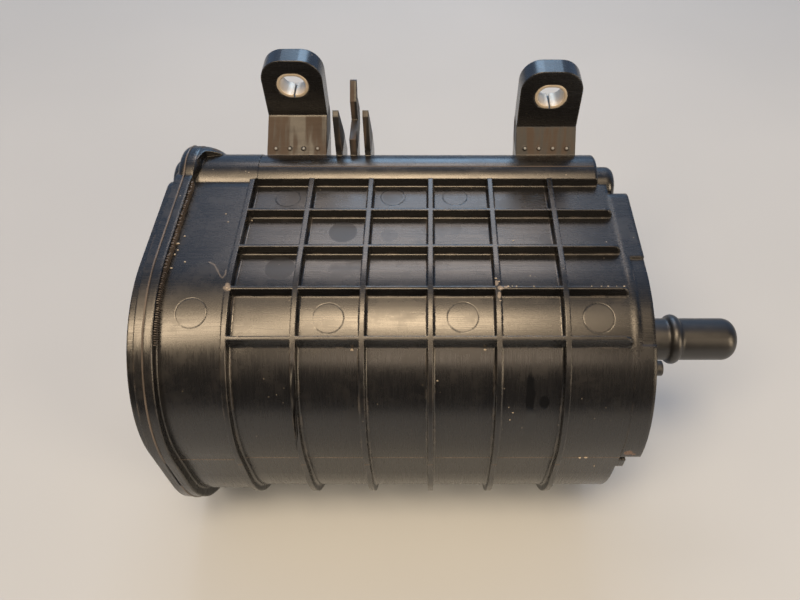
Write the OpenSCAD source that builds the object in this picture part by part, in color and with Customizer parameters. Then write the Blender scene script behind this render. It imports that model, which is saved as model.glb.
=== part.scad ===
// Charcoal canister: a moulded two-chamber vapour canister with a welded end cap.
// Millimetres. X runs from the cap to the spigot, Y to the mounting ears, Z up from the rest plane.
// X = 0 is the middle of the ribbed length, Y = 0 the centre line of the rounded front.

/* [Body] */
// Ribbed length of the body, from the first rib to the end wall
grid_l = 132; // [100:1:170]
// Smooth length between the weld flange and the first rib
smooth_l = 21.2; // [14:0.1:30]
// Height of the body over its ribs
body_h = 111.4; // [104:0.1:130]
// Radius of the rounded front, over the ribs
front_r = 48.2; // [40:0.1:49]
// Distance from the front's centre line to the back wall
back_y = 46.8; // [42:0.1:60]
// Radius of the two back corners
back_r = 10; // [6:0.5:16]
// Thickness of the moulded walls
wall = 2.4; // [1.8:0.1:3]
// How far the smooth part stands out at the front, over the panels between the ribs
smooth_out = 0.8; // [0.2:0.1:2]
// How far the smooth part's top lies under the tops of the ribs
smooth_drop = 0.15; // [0.1:0.05:2]

/* [Ribs] */
// Height of the ribs over the top panels
rib_h = 3.7; // [2.5:0.1:5]
// Height of the ribs over the panels of the rounded front
front_rib_h = 2.7; // [2:0.1:4]
// Height of the ribs under the panels of the underside
low_rib_h = 2; // [1.5:0.1:4]
// Thickness of the ribs that run round the body
rib_t = 1.8; // [1.2:0.1:2.6]
// Thickness of the lengthwise ribs
row_t = 1.1; // [0.8:0.1:2]
// Number of cells along the body
rib_cols = 6; // [4:1:8]
// Number of lengthwise ribs on the flat top and on the flat underside
rib_rows = 3; // [2:1:3]
// Distance from the side chamber's step to the first lengthwise rib
row_first = 16.2; // [13:0.1:18]
// Distance between the lengthwise ribs
row_pitch = 17.7; // [12:0.1:18.5]
// Distance of the crown's lengthwise ribs in front of the centre line
crown_row = 25.3; // [23:0.1:30]
// Gap between the ends of the lengthwise ribs and the end wall's edge
rib_stop = 1; // [0.5:0.1:3]
// Rounding of the ends of the lengthwise ribs
rib_end_r = 2.6; // [1:0.1:3.5]

/* [Side chamber] */
// Outer radius of the side chamber
lobe_r = 12; // [11:0.1:13]
// Radius of the side chamber's bore
lobe_bore_r = 8.2; // [7:0.1:8.4]
// Distance of the side chamber's axis behind the back wall
lobe_back = 2; // [1:0.1:3]
// Height of the side chamber's crown over the ribs
lobe_up = 2; // [1:0.1:3]
// Distance from the chamber's axis to the upright step over the cells
rail_in = 6.8; // [6.6:0.1:7.4]
// Distance of the side chamber's end from the main end wall
lobe_short = 3.6; // [1:0.1:5]
// Rounding of the side chamber's end
lobe_end_r = 1.2; // [0.5:0.1:6]
// Step of the side chamber where its smooth part ends
lobe_step = 0.25; // [0.1:0.05:0.8]
// Length of the side chamber's smooth part past the first rib
lobe_smooth_l = 1.8; // [1:0.1:6]
// Radius of the vent boss on the side chamber's end
vent_r = 7.5; // [6:0.1:8.5]
// Length of the vent boss
vent_l = 7.7; // [5:0.1:14]
// Rounding of the vent boss
vent_edge = 3; // [0.5:0.1:3.4]
// Radius of the vent's bore
vent_bore_r = 4; // [3:0.1:5]

/* [Weld flange and cap] */
// How far the weld flange stands out over the smooth part
flange_out = 3.4; // [2:0.1:5]
// Thickness of the body's weld flange
flange_t = 3.1; // [2:0.1:5]
// Length of the rounded collar behind the side chamber, next to the flange
collar_l = 8.6; // [5:0.1:12]
// How far the collar stays under the flange's edge
collar_low = 0.2; // [0.1:0.05:1]
// Thickness of the cap's rim
rim_t = 3; // [2:0.1:5]
// Upright part of the cap's rounded edge round the side chamber
cap_edge = 0.3; // [0.2:0.1:1]
// Height of the cap's raised middle over its rim
dome_h = 3.7; // [2:0.1:8]
// How far the raised middle stands in from the smooth part's outline
dome_in = 0.6; // [0.2:0.1:3]
// Width of the slope round the raised middle
dome_slope = 2; // [1:0.1:3]
// How far the side chamber's dome on the cap stands in from the chamber's outside
side_dome_in = 1.8; // [1:0.1:3]
// How far the side chamber's dome stays under the raised middle
side_dome_low = 0.2; // [0.1:0.1:2]
// Rounding of the side chamber's dome
side_dome_edge = 2.2; // [0.5:0.1:3]

/* [Mounting ears] */
// Distance between the two bolt slots
ear_pitch = 95.2; // [70:0.1:120]
// Middle of the two ears along the body
ear_mid_x = -3.6; // [-10:0.1:10]
// Width of each ear
ear_w = 22.6; // [19:0.1:28]
// Thickness of each ear
ear_t = 8; // [7.5:0.1:12]
// Front face of the first ear behind the side chamber's axis
ear_a_y = 20.2; // [17:0.1:24]
// How far the second ear's face stands in front of the first
ear_step = 7; // [2:0.1:7]
// Height of the bolt slots over the ribs
slot_up = 21.5; // [18:0.1:30]
// Length of the bolt slots inside the sleeves
slot_l = 9.8; // [8.5:0.1:12]
// Width of the bolt slots inside the sleeves
slot_w = 8; // [6:0.1:8.4]
// Wall of the steel sleeves
sleeve_wall = 1; // [0.8:0.1:1.5]
// Room at the rounded ends of the sleeves
sleeve_room = 0.3; // [0.2:0.05:0.5]
// Split along the sleeves
sleeve_split = 0.7; // [0.3:0.1:1.2]
// Height of the ears above their slots
ear_over = 10.2; // [9:0.1:14]
// Height of the kink between an ear and its sloped root, over the ribs
kink_up = 8.5; // [5:0.1:11]
// Radius of the ears' top corners
ear_r = 8; // [4:0.5:9]
// Number of round studs along each root
studs = 4; // [2:1:5]
// Radius of the studs
stud_r = 1; // [0.5:0.1:1.2]

/* [Latch fins] */
// Middle of the latch tongue along the body
tongue_x = -29.4; // [-34:0.1:-20]
// Thickness of the latch tongue
tongue_t = 2.5; // [1.6:0.1:3]
// Distance from the tongue to each guide fin
guide_gap = 5.5; // [4.5:0.1:6]
// Thickness of the guide fins
guide_t = 2.2; // [1.4:0.1:3]
// Height of the guide fins over the ribs
guide_up = 17.6; // [12:0.1:22]
// Height of the latch tongue over the ribs
tongue_up = 19.2; // [15:0.1:24]
// Height of the latch tongue's ledge over its root
ledge_up = 6.3; // [4:0.1:7]
// Height of the catch wall behind the ledge
catch_h = 7.6; // [5:0.1:8]

/* [End plate and spigot] */
// Height of the raised end plate on the upper half
plate_h = 7.1; // [4:0.1:9]
// Height of the small lug under the end plate's front corner
lug_h = 2.6; // [1:0.1:4]
// Length of the lug down the end wall
lug_l = 7.4; // [4:0.1:12]
// Width of the lug along the plate's lower edge
lug_w = 9; // [5:0.1:14]
// Rounding of the lug's lower corner
lug_r = 3; // [1:0.1:4]
// How far the end plate stands out over the panels
plate_out = 0.2; // [0.1:0.1:0.6]
// How far the end plate stops short of the side chamber's step
plate_back = 0.2; // [0.1:0.1:4]
// Radius of the end plate's back corners
plate_corner = 6.5; // [3:0.1:8]
// Radius of the end plate's lower front corner
plate_tip_r = 3.6; // [1:0.1:5]
// Bevel of the end plate's upright back edge
plate_bevel = 1.8; // [0.5:0.1:3]
// Depth of the split between the plate's two halves under the rib tops
part_down = 52.7; // [46:0.1:62]
// Depth of the shallow flat along the plate's top edge
flat_in = 0.9; // [0.3:0.1:1.5]
// Radius of the vapour spigot
spigot_r = 7.91; // [5:0.01:9]
// Radius of the spigot's bore
spigot_bore_r = 4.8; // [3:0.1:5]
// Length of the spigot over the end plate
spigot_l = 41.5; // [30:0.1:60]
// Rounding of the spigot's tip
tip_r = 5; // [2:0.1:5]
// Radius of the bead round the spigot
bead_r = 9.4; // [9:0.01:11]
// Half width of the bead
bead_half = 2.6; // [1.5:0.1:3]
// Distance of the bead from the end plate
bead_x = 17.7; // [12:0.1:24]
// Spigot's axis in front of the centre line
spigot_y = 1.3; // [-5:0.1:8]
// Height of the spigot's axis over the split of the end plate
spigot_up = 11; // [9:0.1:20]
// Radius of the small peg on the end plate
peg_r = 2.5; // [1.5:0.1:3]
// Height of the small peg
peg_h = 2.6; // [1:0.1:5]

/* [Inside] */
// Thickness of the felt filters
felt_t = 3; // [2:0.1:5]
// Thickness of the pressure plates
press_t = 4; // [3:0.1:6]
// Room round the filters, beds and pressure plates
inner_room = 0.35; // [0.3:0.05:0.8]
// Radius of the two main springs
spring_r = 9; // [6:0.1:11]
// Radius of the side spring
side_spring_r = 5.6; // [4:0.1:6.2]
// Thickness of the spring wire
wire_t = 1.5; // [1:0.1:2]
// Turns in each spring
spring_turns = 5; // [3:1:8]
// Distance between the two main springs, up and down
spring_pitch = 42; // [30:1:50]
// Distance between the holes in the main pressure plate
hole_pitch = 13; // [10:0.5:18]
// Radius of the holes in the main pressure plate
hole_r = 2.6; // [1.5:0.1:3.5]

/* [Hidden] */
$fn = 96;
eps = 0.02;
// heights and centres of the section
top_z = body_h;
arc_hi = body_h - front_r;
arc_lo = front_r;
mid_z = body_h / 2;
part_z = body_h - part_down;
panel_r = front_r - front_rib_h;
panel_top = body_h - rib_h;
panel_hi = panel_top - panel_r;
panel_lo = low_rib_h + panel_r;
smooth_r = panel_r + smooth_out;
smooth_hi = top_z - smooth_drop - smooth_r;
smooth_lo = smooth_drop + smooth_r;
smooth_back = back_y + smooth_out;
flange_r = smooth_r + flange_out;
// stations along the body
x_end = grid_l / 2;
x_grid = -grid_l / 2;
x_flange = x_grid - smooth_l;
x_weld = x_flange - flange_t;
x_rim = x_weld - rim_t;
x_dome = x_rim - dome_h;
x_plate = x_end + plate_h;
pitch_x = grid_l / rib_cols;
// the side chamber
lobe_y = back_y + lobe_back;
lobe_z = top_z + lobe_up - lobe_r;
lobe_end = x_end - lobe_short;
rail_y = lobe_y - rail_in;
collar_r = lobe_r + flange_out - collar_low;
side_dome_r = lobe_r - side_dome_in;
x_side_dome = x_dome + side_dome_low;
// the lengthwise ribs
rows_y = concat(
    [for (k = [0 : rib_rows - 1]) rail_y - row_first - k * row_pitch],
    [-crown_row]
);
// the cavities
cav_r = panel_r - wall;
cav_back = back_y - wall;
x_cav = x_end - wall;
x_step = x_grid - rib_t / 2 - wall;
x_pen = x_plate - wall;
// the ears
ear_a_x = ear_mid_x - ear_pitch / 2;
ear_b_x = ear_mid_x + ear_pitch / 2;
ear_a_face = lobe_y + ear_a_y;
ear_b_face = ear_a_face - ear_step;
slot_z = top_z + slot_up;
ear_top = slot_z + ear_over;
kink_z = top_z + kink_up;
root_y = lobe_y + 6.2;
root_z = lobe_z + sqrt(lobe_r * lobe_r - 6.2 * 6.2);
sleeve_h = slot_w + 2 * sleeve_wall;
sleeve_l = slot_l + 2 * sleeve_wall;
// the spigot
spig_y = -spigot_y;
spig_z = part_z + spigot_up;
// the inside, from the end wall to the cap
x_felt_out = x_cav - felt_t;
x_press = x_step + 1;
x_felt_in = x_press + press_t;
x_bed = x_felt_in + felt_t;
x_side_cav = lobe_end - wall;
x_side_felt = x_side_cav - felt_t;
spring_y = -2;

// a section drawn in Y and Z, carried along X
module along_x(x0, x1) {
    translate([x0, 0, 0])
        rotate([90, 0, 90])
            linear_extrude(height = x1 - x0)
                children();
}

// rounded front, flat top and underside, upright back with two rounded corners
module outline(r, hi, lo, back, corner) {
    intersection() {
        union() {
            translate([0, hi])
                circle(r);
            translate([0, lo])
                circle(r);
        }
        translate([-r, lo - r])
            square([r + eps, hi - lo + 2 * r]);
    }
    translate([-r, lo])
        square([r + eps, max(hi - lo, eps)]);
    translate([0, lo - r])
        square([back - corner, hi - lo + 2 * r]);
    translate([0, lo - r + corner])
        square([back, hi - lo + 2 * r - 2 * corner]);
    translate([back - corner, lo - r + corner])
        circle(corner);
    translate([back - corner, hi + r - corner])
        circle(corner);
}

module panel_2d(in = 0) {
    outline(panel_r - in, panel_hi, panel_lo, back_y - in, back_r - min(in, back_r / 2));
}

// the panels' outline, level at the top as far as the side chamber's step
module body_2d() {
    panel_2d();
    translate([0, panel_top - back_r])
        square([rail_y + 1, back_r]);
}

module ribs_2d() {
    outline(front_r, arc_hi, arc_lo, back_y + rib_h, back_r + rib_h);
    translate([0, top_z - back_r])
        square([rail_y + 1, back_r]);
}

module smooth_2d(in = 0) {
    outline(smooth_r - in, smooth_hi, smooth_lo, smooth_back - in, back_r - min(in, back_r / 2));
}

module lobe_2d(r) {
    translate([lobe_y, lobe_z])
        circle(r);
}

// the weld flange's outline, cut flat where it meets the rest plane
module flange_2d() {
    intersection() {
        outline(flange_r, smooth_hi, smooth_lo, smooth_back + flange_out, back_r + flange_out);
        translate([-2 * front_r, 0])
            square([4 * front_r, 2 * body_h]);
    }
}

// a rectangle whose front, lower corner is rounded
module round_corner_2d(y, z, w, h, r) {
    translate([y + r, z])
        square([w - r, h]);
    translate([y, z + r])
        square([w, h - r]);
    translate([y + r, z + r])
        circle(r);
}

// the end plate, on the upper half of the end wall
module plate_2d(in, tip) {
    intersection() {
        outline(panel_r + plate_out - in, panel_hi, panel_lo, rail_y - plate_back - in, plate_corner);
        round_corner_2d(-panel_r - plate_out + in, part_z + in, 4 * front_r, 2 * front_r, tip);
    }
}

// the small lug under the plate's front corner
module lug_2d() {
    round_corner_2d(-panel_r, part_z - lug_l, lug_w, lug_l + eps, lug_r);
}

// a turned shape whose axis lies along X: its profile is drawn as radius and length
module turned(x, y, z) {
    translate([x, y, z])
        rotate([0, 90, 0])
            rotate_extrude()
                children();
}

module round_end(r, l, edge) {
    square([r - edge, l]);
    square([r, l - edge]);
    translate([r - edge, l - edge])
        circle(edge);
}

// keeps the half of a profile that a turned shape uses
module half_plane(r, l) {
    intersection() {
        children();
        square([r, l]);
    }
}

module slot_2d(l, w) {
    translate([-(l - w) / 2, 0])
        circle(w / 2);
    translate([(l - w) / 2, 0])
        circle(w / 2);
    square([l - w, w], center = true);
}

// a slot carried along Y, from the face inwards
module slot_y(x, face, depth, l, w) {
    translate([x, face + depth, slot_z])
        rotate([90, 0, 0])
            linear_extrude(height = depth)
                slot_2d(l, w);
}

// outline of an ear seen along Y
module ear_front_2d() {
    low = lobe_z - lobe_r - slot_z;
    translate([-ear_w / 2, low])
        square([ear_w, ear_over - ear_r - low]);
    translate([-ear_w / 2 + ear_r, low])
        square([ear_w - 2 * ear_r, ear_over - low]);
    for (s = [-1, 1])
        translate([s * (ear_w / 2 - ear_r), ear_over - ear_r])
            circle(ear_r);
}

// one ear with its sloped root, seen along X
module ear_side_2d(face) {
    polygon([
        [lobe_y, lobe_z],
        [lobe_y, root_z],
        [root_y, root_z],
        [face, kink_z],
        [face, ear_top],
        [face + ear_t, ear_top],
        [face + ear_t, kink_z - ear_t / 2],
        [lobe_y + lobe_r * 0.7, lobe_z - lobe_r * 0.6],
        [lobe_y, lobe_z - lobe_r * 0.6]
    ]);
}

module ear(x, face) {
    slope = atan2(kink_z - root_z, face - root_y);
    difference() {
        intersection() {
            along_x(x - ear_w / 2, x + ear_w / 2)
                ear_side_2d(face);
            translate([x, face + 2 * ear_t, slot_z])
                rotate([90, 0, 0])
                    linear_extrude(height = face + 4 * ear_t)
                        ear_front_2d();
        }
        slot_y(x, face - 1, ear_t + 2, sleeve_l + 2 * sleeve_room, sleeve_h);
    }
    for (i = [0 : studs - 1])
        translate([x + (i - (studs - 1) / 2) * ear_w * 0.235, root_y, root_z])
            rotate([slope, 0, 0])
                translate([0, 2.6, -stud_r * 0.3])
                    sphere(r = stud_r, $fn = 32);
}

module tongue() {
    far = ear_a_face + ear_t;
    ledge_z = root_z + ledge_up;
    along_x(tongue_x - tongue_t / 2, tongue_x + tongue_t / 2)
        polygon([
            [lobe_y, lobe_z],
            [lobe_y, root_z],
            [root_y, root_z],
            [root_y + ledge_up * 0.25, ledge_z],
            [ear_a_face - 0.2, ledge_z],
            [ear_a_face + 0.6, ledge_z + catch_h],
            [far - 1.2, top_z + tongue_up],
            [far + 0.4, top_z + tongue_up - 0.6],
            [ear_a_face + 5.4, ledge_z + catch_h - 1.2],
            [far + 0.8, root_z + 5.2],
            [far - 1.6, root_z + 1],
            [root_y + 12, root_z - 2.6],
            [lobe_y + lobe_r * 0.8, lobe_z - lobe_r * 0.5]
        ]);
}

module guide(x) {
    along_x(x - guide_t / 2, x + guide_t / 2)
        polygon([
            [lobe_y, lobe_z],
            [lobe_y, root_z],
            [root_y - 0.6, root_z],
            [root_y + 2.4, top_z + guide_up - 1.4],
            [root_y + 4.4, top_z + guide_up],
            [root_y + 12, root_z + 2],
            [root_y + 15, root_z - 9],
            [lobe_y + lobe_r * 0.7, lobe_z - lobe_r * 0.65]
        ]);
}

// one lengthwise rib, seen along Y, with its ends at the end wall rounded off
module row_2d(y) {
    top = arc_hi + (y < 0 ? sqrt(front_r * front_r - y * y) : front_r);
    low = body_h - top;
    l = grid_l - rib_stop;
    translate([x_grid, -1])
        square([l - rib_end_r, body_h + 2]);
    translate([x_grid, low + rib_end_r])
        square([l, top - low - 2 * rib_end_r]);
    for (z = [low + rib_end_r, top - rib_end_r])
        translate([x_grid + l - rib_end_r, z])
            circle(rib_end_r);
}

module ribs() {
    for (i = [0 : rib_cols - 1])
        along_x(x_grid + i * pitch_x - rib_t / 2, x_grid + i * pitch_x + rib_t / 2)
            ribs_2d();
    intersection() {
        along_x(x_grid, x_end)
            ribs_2d();
        for (y = rows_y)
            translate([0, y + row_t / 2, 0])
                rotate([90, 0, 0])
                    linear_extrude(height = row_t)
                        row_2d(y);
    }
}

// the side chamber's outside, upright on the side of the cells
module lobe() {
    difference() {
        union() {
            turned(x_flange - eps, lobe_y, lobe_z)
                half_plane(lobe_r, lobe_end - x_flange + 1)
                    round_end(lobe_r, lobe_end - x_flange, lobe_end_r);
            turned(x_flange - eps, lobe_y, lobe_z)
                square([lobe_r + lobe_step, smooth_l + lobe_smooth_l]);
        }
        translate([x_grid, rail_y - 2 * lobe_r, panel_top - 0.1])
            cube([grid_l, 2 * lobe_r, lobe_r]);
    }
}

// the rounded collar behind the side chamber, thicker towards the back
module collar() {
    rise = collar_r - lobe_r;
    arc_r = (collar_l * collar_l + rise * rise) / (2 * rise);
    far_x = x_flange + collar_l + 1;
    far_y = lobe_y + collar_r + 1;
    intersection() {
        turned(x_flange - eps, lobe_y, lobe_z)
            half_plane(collar_r, collar_l)
                translate([collar_r - arc_r, 0])
                    circle(arc_r);
        translate([0, 0, lobe_z - collar_r - 1])
            linear_extrude(height = 2 * collar_r + 2)
                polygon([
                    [x_flange - 1, lobe_y - lobe_r * 0.43],
                    [x_flange, lobe_y - lobe_r * 0.43],
                    [x_flange + collar_l * 0.3, lobe_y + lobe_r * 0.3],
                    [far_x, lobe_y + lobe_r * 0.53],
                    [far_x, far_y],
                    [x_flange - 1, far_y]
                ]);
    }
}

module spigot() {
    l = spigot_l;
    turned(x_plate, spig_y, spig_z) {
        half_plane(spigot_r, l)
            translate([0, -1])
                round_end(spigot_r, l + 1, tip_r);
        translate([bead_r - bead_half, bead_x])
            circle(bead_half);
    }
}

module housing_outside() {
    along_x(x_grid, x_end)
        body_2d();
    ribs();
    along_x(x_flange - eps, x_grid)
        smooth_2d();
    along_x(x_weld, x_flange)
        flange_2d();
    along_x(x_weld, x_flange)
        lobe_2d(lobe_r + flange_out);
    collar();
    lobe();
    turned(lobe_end - 1, lobe_y, lobe_z)
        half_plane(vent_r, vent_l + 1)
            round_end(vent_r, vent_l + 1, vent_edge);
    difference() {
        along_x(x_end - eps, x_plate)
            plate_2d(0, plate_tip_r);
        // shallow flat along the plate's top edge
        difference() {
            translate([x_end + plate_h * 0.3, -panel_r * 0.554, panel_hi])
                cube([plate_h, panel_r * 0.684, front_r]);
            along_x(x_end, x_plate + 1)
                panel_2d(flat_in - plate_out);
        }
        // bevel of the upright back edge
        translate([x_plate, rail_y - plate_back, part_z - 1])
            rotate([0, 0, 45])
                translate([-plate_bevel * sqrt(0.5), -2 * plate_bevel, 0])
                    cube([2 * plate_bevel, 4 * plate_bevel, 2 * front_r]);
    }
    along_x(x_end - eps, x_end + lug_h)
        lug_2d();
    spigot();
    translate([x_plate - eps, -panel_r * 0.635, panel_hi + panel_r * 0.658])
        rotate([0, 90, 0])
            cylinder(r = peg_r, h = peg_h);
    ear(ear_a_x, ear_a_face);
    ear(ear_b_x, ear_b_face);
    tongue();
    guide(tongue_x - guide_gap);
    guide(tongue_x + guide_gap);
}

// the main chamber's section, clear of the side chamber's wall
module main_2d(in, smooth) {
    difference() {
        if (smooth)
            smooth_2d(wall + in);
        else
            panel_2d(wall + in);
        lobe_2d(lobe_bore_r + wall + in);
    }
}

module housing() {
    color([0.05, 0.05, 0.055])
        difference() {
            housing_outside();
            along_x(x_step, x_cav)
                main_2d(0, false);
            along_x(x_weld - 1, x_step + eps)
                main_2d(0, true);
            along_x(x_cav - eps, x_pen)
                plate_2d(wall, max(plate_tip_r - wall, 0.5));
            along_x(x_weld - 1, x_side_cav)
                lobe_2d(lobe_bore_r);
            turned(x_side_cav - 1, lobe_y, lobe_z)
                square([vent_bore_r, vent_l + wall + 5]);
            turned(x_pen - 1, spig_y, spig_z)
                square([spigot_bore_r, spigot_l + wall + 5]);
            // passage between the two chambers at the cap
            translate([x_weld - 1, lobe_y - lobe_bore_r - wall - 2, lobe_z - 4])
                cube([7, lobe_bore_r + wall, 5]);
        }
}

module end_cap() {
    color([0.06, 0.06, 0.065])
        difference() {
            union() {
                along_x(x_rim, x_weld)
                    flange_2d();
                translate([x_weld, lobe_y, lobe_z])
                    rotate([0, -90, 0])
                        rotate_extrude()
                            half_plane(lobe_r + flange_out, rim_t)
                                round_end(lobe_r + flange_out, rim_t, rim_t - cap_edge);
                along_x(x_dome, x_rim + eps)
                    smooth_2d(dome_in);
                translate([x_rim + eps, lobe_y, lobe_z])
                    rotate([0, -90, 0])
                        rotate_extrude()
                            half_plane(side_dome_r, x_rim - x_side_dome + eps)
                                round_end(side_dome_r, x_rim - x_side_dome + eps, side_dome_edge);
            }
            along_x(x_rim + 0.6, x_weld + 1)
                main_2d(0, true);
            along_x(x_dome + wall, x_rim + 1)
                smooth_2d(dome_in + wall + dome_slope);
            along_x(x_rim + wall, x_weld + 1)
                lobe_2d(lobe_bore_r);
            along_x(x_side_dome + wall, x_rim + wall + eps)
                lobe_2d(side_dome_r - wall);
        }
}

module sleeve(x, face) {
    color([0.7, 0.66, 0.58])
        difference() {
            slot_y(x, face, ear_t, sleeve_l, sleeve_h);
            slot_y(x, face - 1, ear_t + 2, slot_l, slot_w);
            translate([x - sleeve_split / 2, face - 1, slot_z - sleeve_h])
                cube([sleeve_split, ear_t + 2, sleeve_h]);
        }
}

module sleeve_a() {
    sleeve(ear_a_x, ear_a_face);
}

module sleeve_b() {
    sleeve(ear_b_x, ear_b_face);
}

module bed_main() {
    color([0.02, 0.02, 0.02])
        along_x(x_bed, x_felt_out)
            main_2d(inner_room, false);
}

module bed_side() {
    color([0.02, 0.02, 0.02])
        along_x(x_bed, x_side_felt)
            lobe_2d(lobe_bore_r - inner_room);
}

module felt_main_out() {
    color([0.8, 0.8, 0.76])
        along_x(x_felt_out, x_cav)
            main_2d(inner_room, false);
}

module felt_main_in() {
    color([0.8, 0.8, 0.76])
        along_x(x_felt_in, x_bed)
            main_2d(inner_room, false);
}

module felt_side_out() {
    color([0.8, 0.8, 0.76])
        along_x(x_side_felt, x_side_cav)
            lobe_2d(lobe_bore_r - inner_room);
}

module felt_side_in() {
    color([0.8, 0.8, 0.76])
        along_x(x_felt_in, x_bed)
            lobe_2d(lobe_bore_r - inner_room);
}

module press_main() {
    color([0.85, 0.85, 0.82])
        difference() {
            along_x(x_press, x_felt_in)
                main_2d(inner_room, false);
            for (i = [-2 : 2], k = [-3 : 3])
                translate([x_press - 1, i * hole_pitch - hole_pitch / 2, mid_z + k * hole_pitch])
                    if (abs(k) < 3 || abs(i) < 2)
                        rotate([0, 90, 0])
                            cylinder(r = hole_r, h = press_t + 2);
        }
}

module press_side() {
    color([0.85, 0.85, 0.82])
        difference() {
            along_x(x_press, x_felt_in)
                lobe_2d(lobe_bore_r - inner_room);
            for (a = [0 : 60 : 300])
                translate([x_press - 1, lobe_y + 3 * cos(a), lobe_z + 3 * sin(a)])
                    rotate([0, 90, 0])
                        cylinder(r = 0.9, h = press_t + 2);
        }
}

// a coil of flat wire between the cap and a pressure plate
module coil(x0, x1, y, z, r) {
    color([0.6, 0.6, 0.62])
        translate([x0, y, z])
            rotate([0, 90, 0])
                linear_extrude(height = x1 - x0, twist = 360 * spring_turns, slices = 14 * spring_turns, $fn = 12)
                    polygon(concat(
                        [for (a = [0 : 30 : 90]) [r * cos(a), r * sin(a)]],
                        [for (a = [90 : -30 : 0]) [(r - wire_t) * cos(a), (r - wire_t) * sin(a)]]
                    ));
}

module spring_main_a() {
    coil(x_dome + wall, x_press, spring_y, mid_z + spring_pitch / 2, spring_r);
}

module spring_main_b() {
    coil(x_dome + wall, x_press, spring_y, mid_z - spring_pitch / 2, spring_r);
}

module spring_side() {
    coil(x_side_dome + wall, x_press, lobe_y, lobe_z, side_spring_r);
}

housing();
end_cap();
sleeve_a();
sleeve_b();
bed_main();
bed_side();
felt_main_in();
felt_main_out();
felt_side_in();
felt_side_out();
press_main();
press_side();
spring_main_a();
spring_main_b();
spring_side();
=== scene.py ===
"""Looks of a charcoal canister: a black moulded body with ribs, a welded cap and sleeved ears.

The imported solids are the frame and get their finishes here. The fillets at the feet of the
ribs, the weld bead, the shoulder and the teeth of the flange, the parting lines and the crumbs
of dirt are pieces of their own, laid on the solids.
"""

import math
import random

import bmesh
import bpy
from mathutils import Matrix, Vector


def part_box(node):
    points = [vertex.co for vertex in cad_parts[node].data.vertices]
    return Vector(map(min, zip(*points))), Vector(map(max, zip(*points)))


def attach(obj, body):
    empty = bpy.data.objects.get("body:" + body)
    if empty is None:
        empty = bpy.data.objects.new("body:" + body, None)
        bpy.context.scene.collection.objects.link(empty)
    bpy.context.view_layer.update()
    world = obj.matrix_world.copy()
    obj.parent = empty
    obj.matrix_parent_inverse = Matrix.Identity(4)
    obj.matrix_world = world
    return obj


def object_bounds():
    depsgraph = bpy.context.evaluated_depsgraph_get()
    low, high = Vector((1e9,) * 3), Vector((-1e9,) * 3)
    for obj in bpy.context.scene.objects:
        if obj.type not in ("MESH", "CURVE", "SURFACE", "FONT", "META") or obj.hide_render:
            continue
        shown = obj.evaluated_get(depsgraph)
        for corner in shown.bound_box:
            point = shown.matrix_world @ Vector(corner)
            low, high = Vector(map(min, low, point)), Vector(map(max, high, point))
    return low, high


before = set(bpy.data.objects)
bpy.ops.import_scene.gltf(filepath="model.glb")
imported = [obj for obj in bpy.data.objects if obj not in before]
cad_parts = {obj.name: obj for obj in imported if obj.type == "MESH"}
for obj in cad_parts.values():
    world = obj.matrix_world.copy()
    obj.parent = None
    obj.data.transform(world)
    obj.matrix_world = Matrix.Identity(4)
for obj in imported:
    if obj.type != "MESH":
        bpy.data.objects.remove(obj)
cad_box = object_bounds()

MM = 0.001

# places on the body, in the frame's own axes
housing_low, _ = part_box("housing")
sleeve_low, sleeve_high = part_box("sleeve_a")
RIB_TOP = (sleeve_low.z + sleeve_high.z) / 2 - 21.5 * MM
WELD_X = housing_low.x
FLANGE_X = WELD_X + 3.1 * MM
GRID_X = FLANGE_X + 21.2 * MM
CELL = 22 * MM
CELLS = 6
RIB_THICK = 1.8 * MM
END_X = GRID_X + CELLS * CELL
RIB_FRONT_Y = -48.2 * MM
PANEL_R = 45.5 * MM
PANEL_TOP = RIB_TOP - 3.7 * MM
PANEL_HIGH = PANEL_TOP - PANEL_R
PANEL_LOW = 2 * MM + PANEL_R
PARTING_Z = RIB_TOP - 50.8 * MM
BURY = 0.1 * MM  # how far added pieces reach into the solids

# the lengthwise ribs and the fillets at the feet of all ribs
RAIL_Y = 42 * MM
ROW_THICK = 1.1 * MM
ROWS_Y = [RAIL_Y - (16.2 + 17.7 * row) * MM for row in range(3)] + [-25.3 * MM]
ROW_END = END_X - 1.4 * MM
ROW_FILLET = 0.55 * MM
ROW_BURY = 0.5 * MM
HOOP_FILLET = 0.8 * MM
HOOP_BACK = 36 * MM
FRONT_Y = -27.5 * MM  # here the grain turns from along the top to down the front

# how far the finishes round sharp edges: the housing's in general, at its end and on its
# flange, the cap's and those of the metal pieces
EDGE_ROUND = 0.6 * MM
END_ROUND = 1.6 * MM
FLANGE_ROUND = 1.2 * MM
CAP_ROUND = 0.7 * MM
METAL_ROUND = 0.4 * MM

# the smooth part beside the flange
SMOOTH_R = 46.3 * MM
SMOOTH_HIGH = RIB_TOP - 0.15 * MM - SMOOTH_R
SMOOTH_LOW = 0.15 * MM + SMOOTH_R
FLANGE_OUT = 3.4 * MM
FLANGE_R = SMOOTH_R + FLANGE_OUT
FLANGE_FOOT = 0.6 * MM

# the side chamber
LOBE_R = 12 * MM
LOBE_Y = 48.8 * MM
LOBE_Z = RIB_TOP + 2 * MM - LOBE_R
LOBE_END = END_X - 3.6 * MM
LOBE_STEP_END = LOBE_END - 0.4 * MM
LOBE_LINE_TURN = math.radians(99.6)
LOBE_LINE_END = LOBE_END - 1.4 * MM

# the rounded shoulder of the flange at the side chamber; turns round the chamber in radians
ROLL_WIDE = 1.9 * MM
ROLL_FADE = 0.4
FLANGE_START = -0.7

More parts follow.
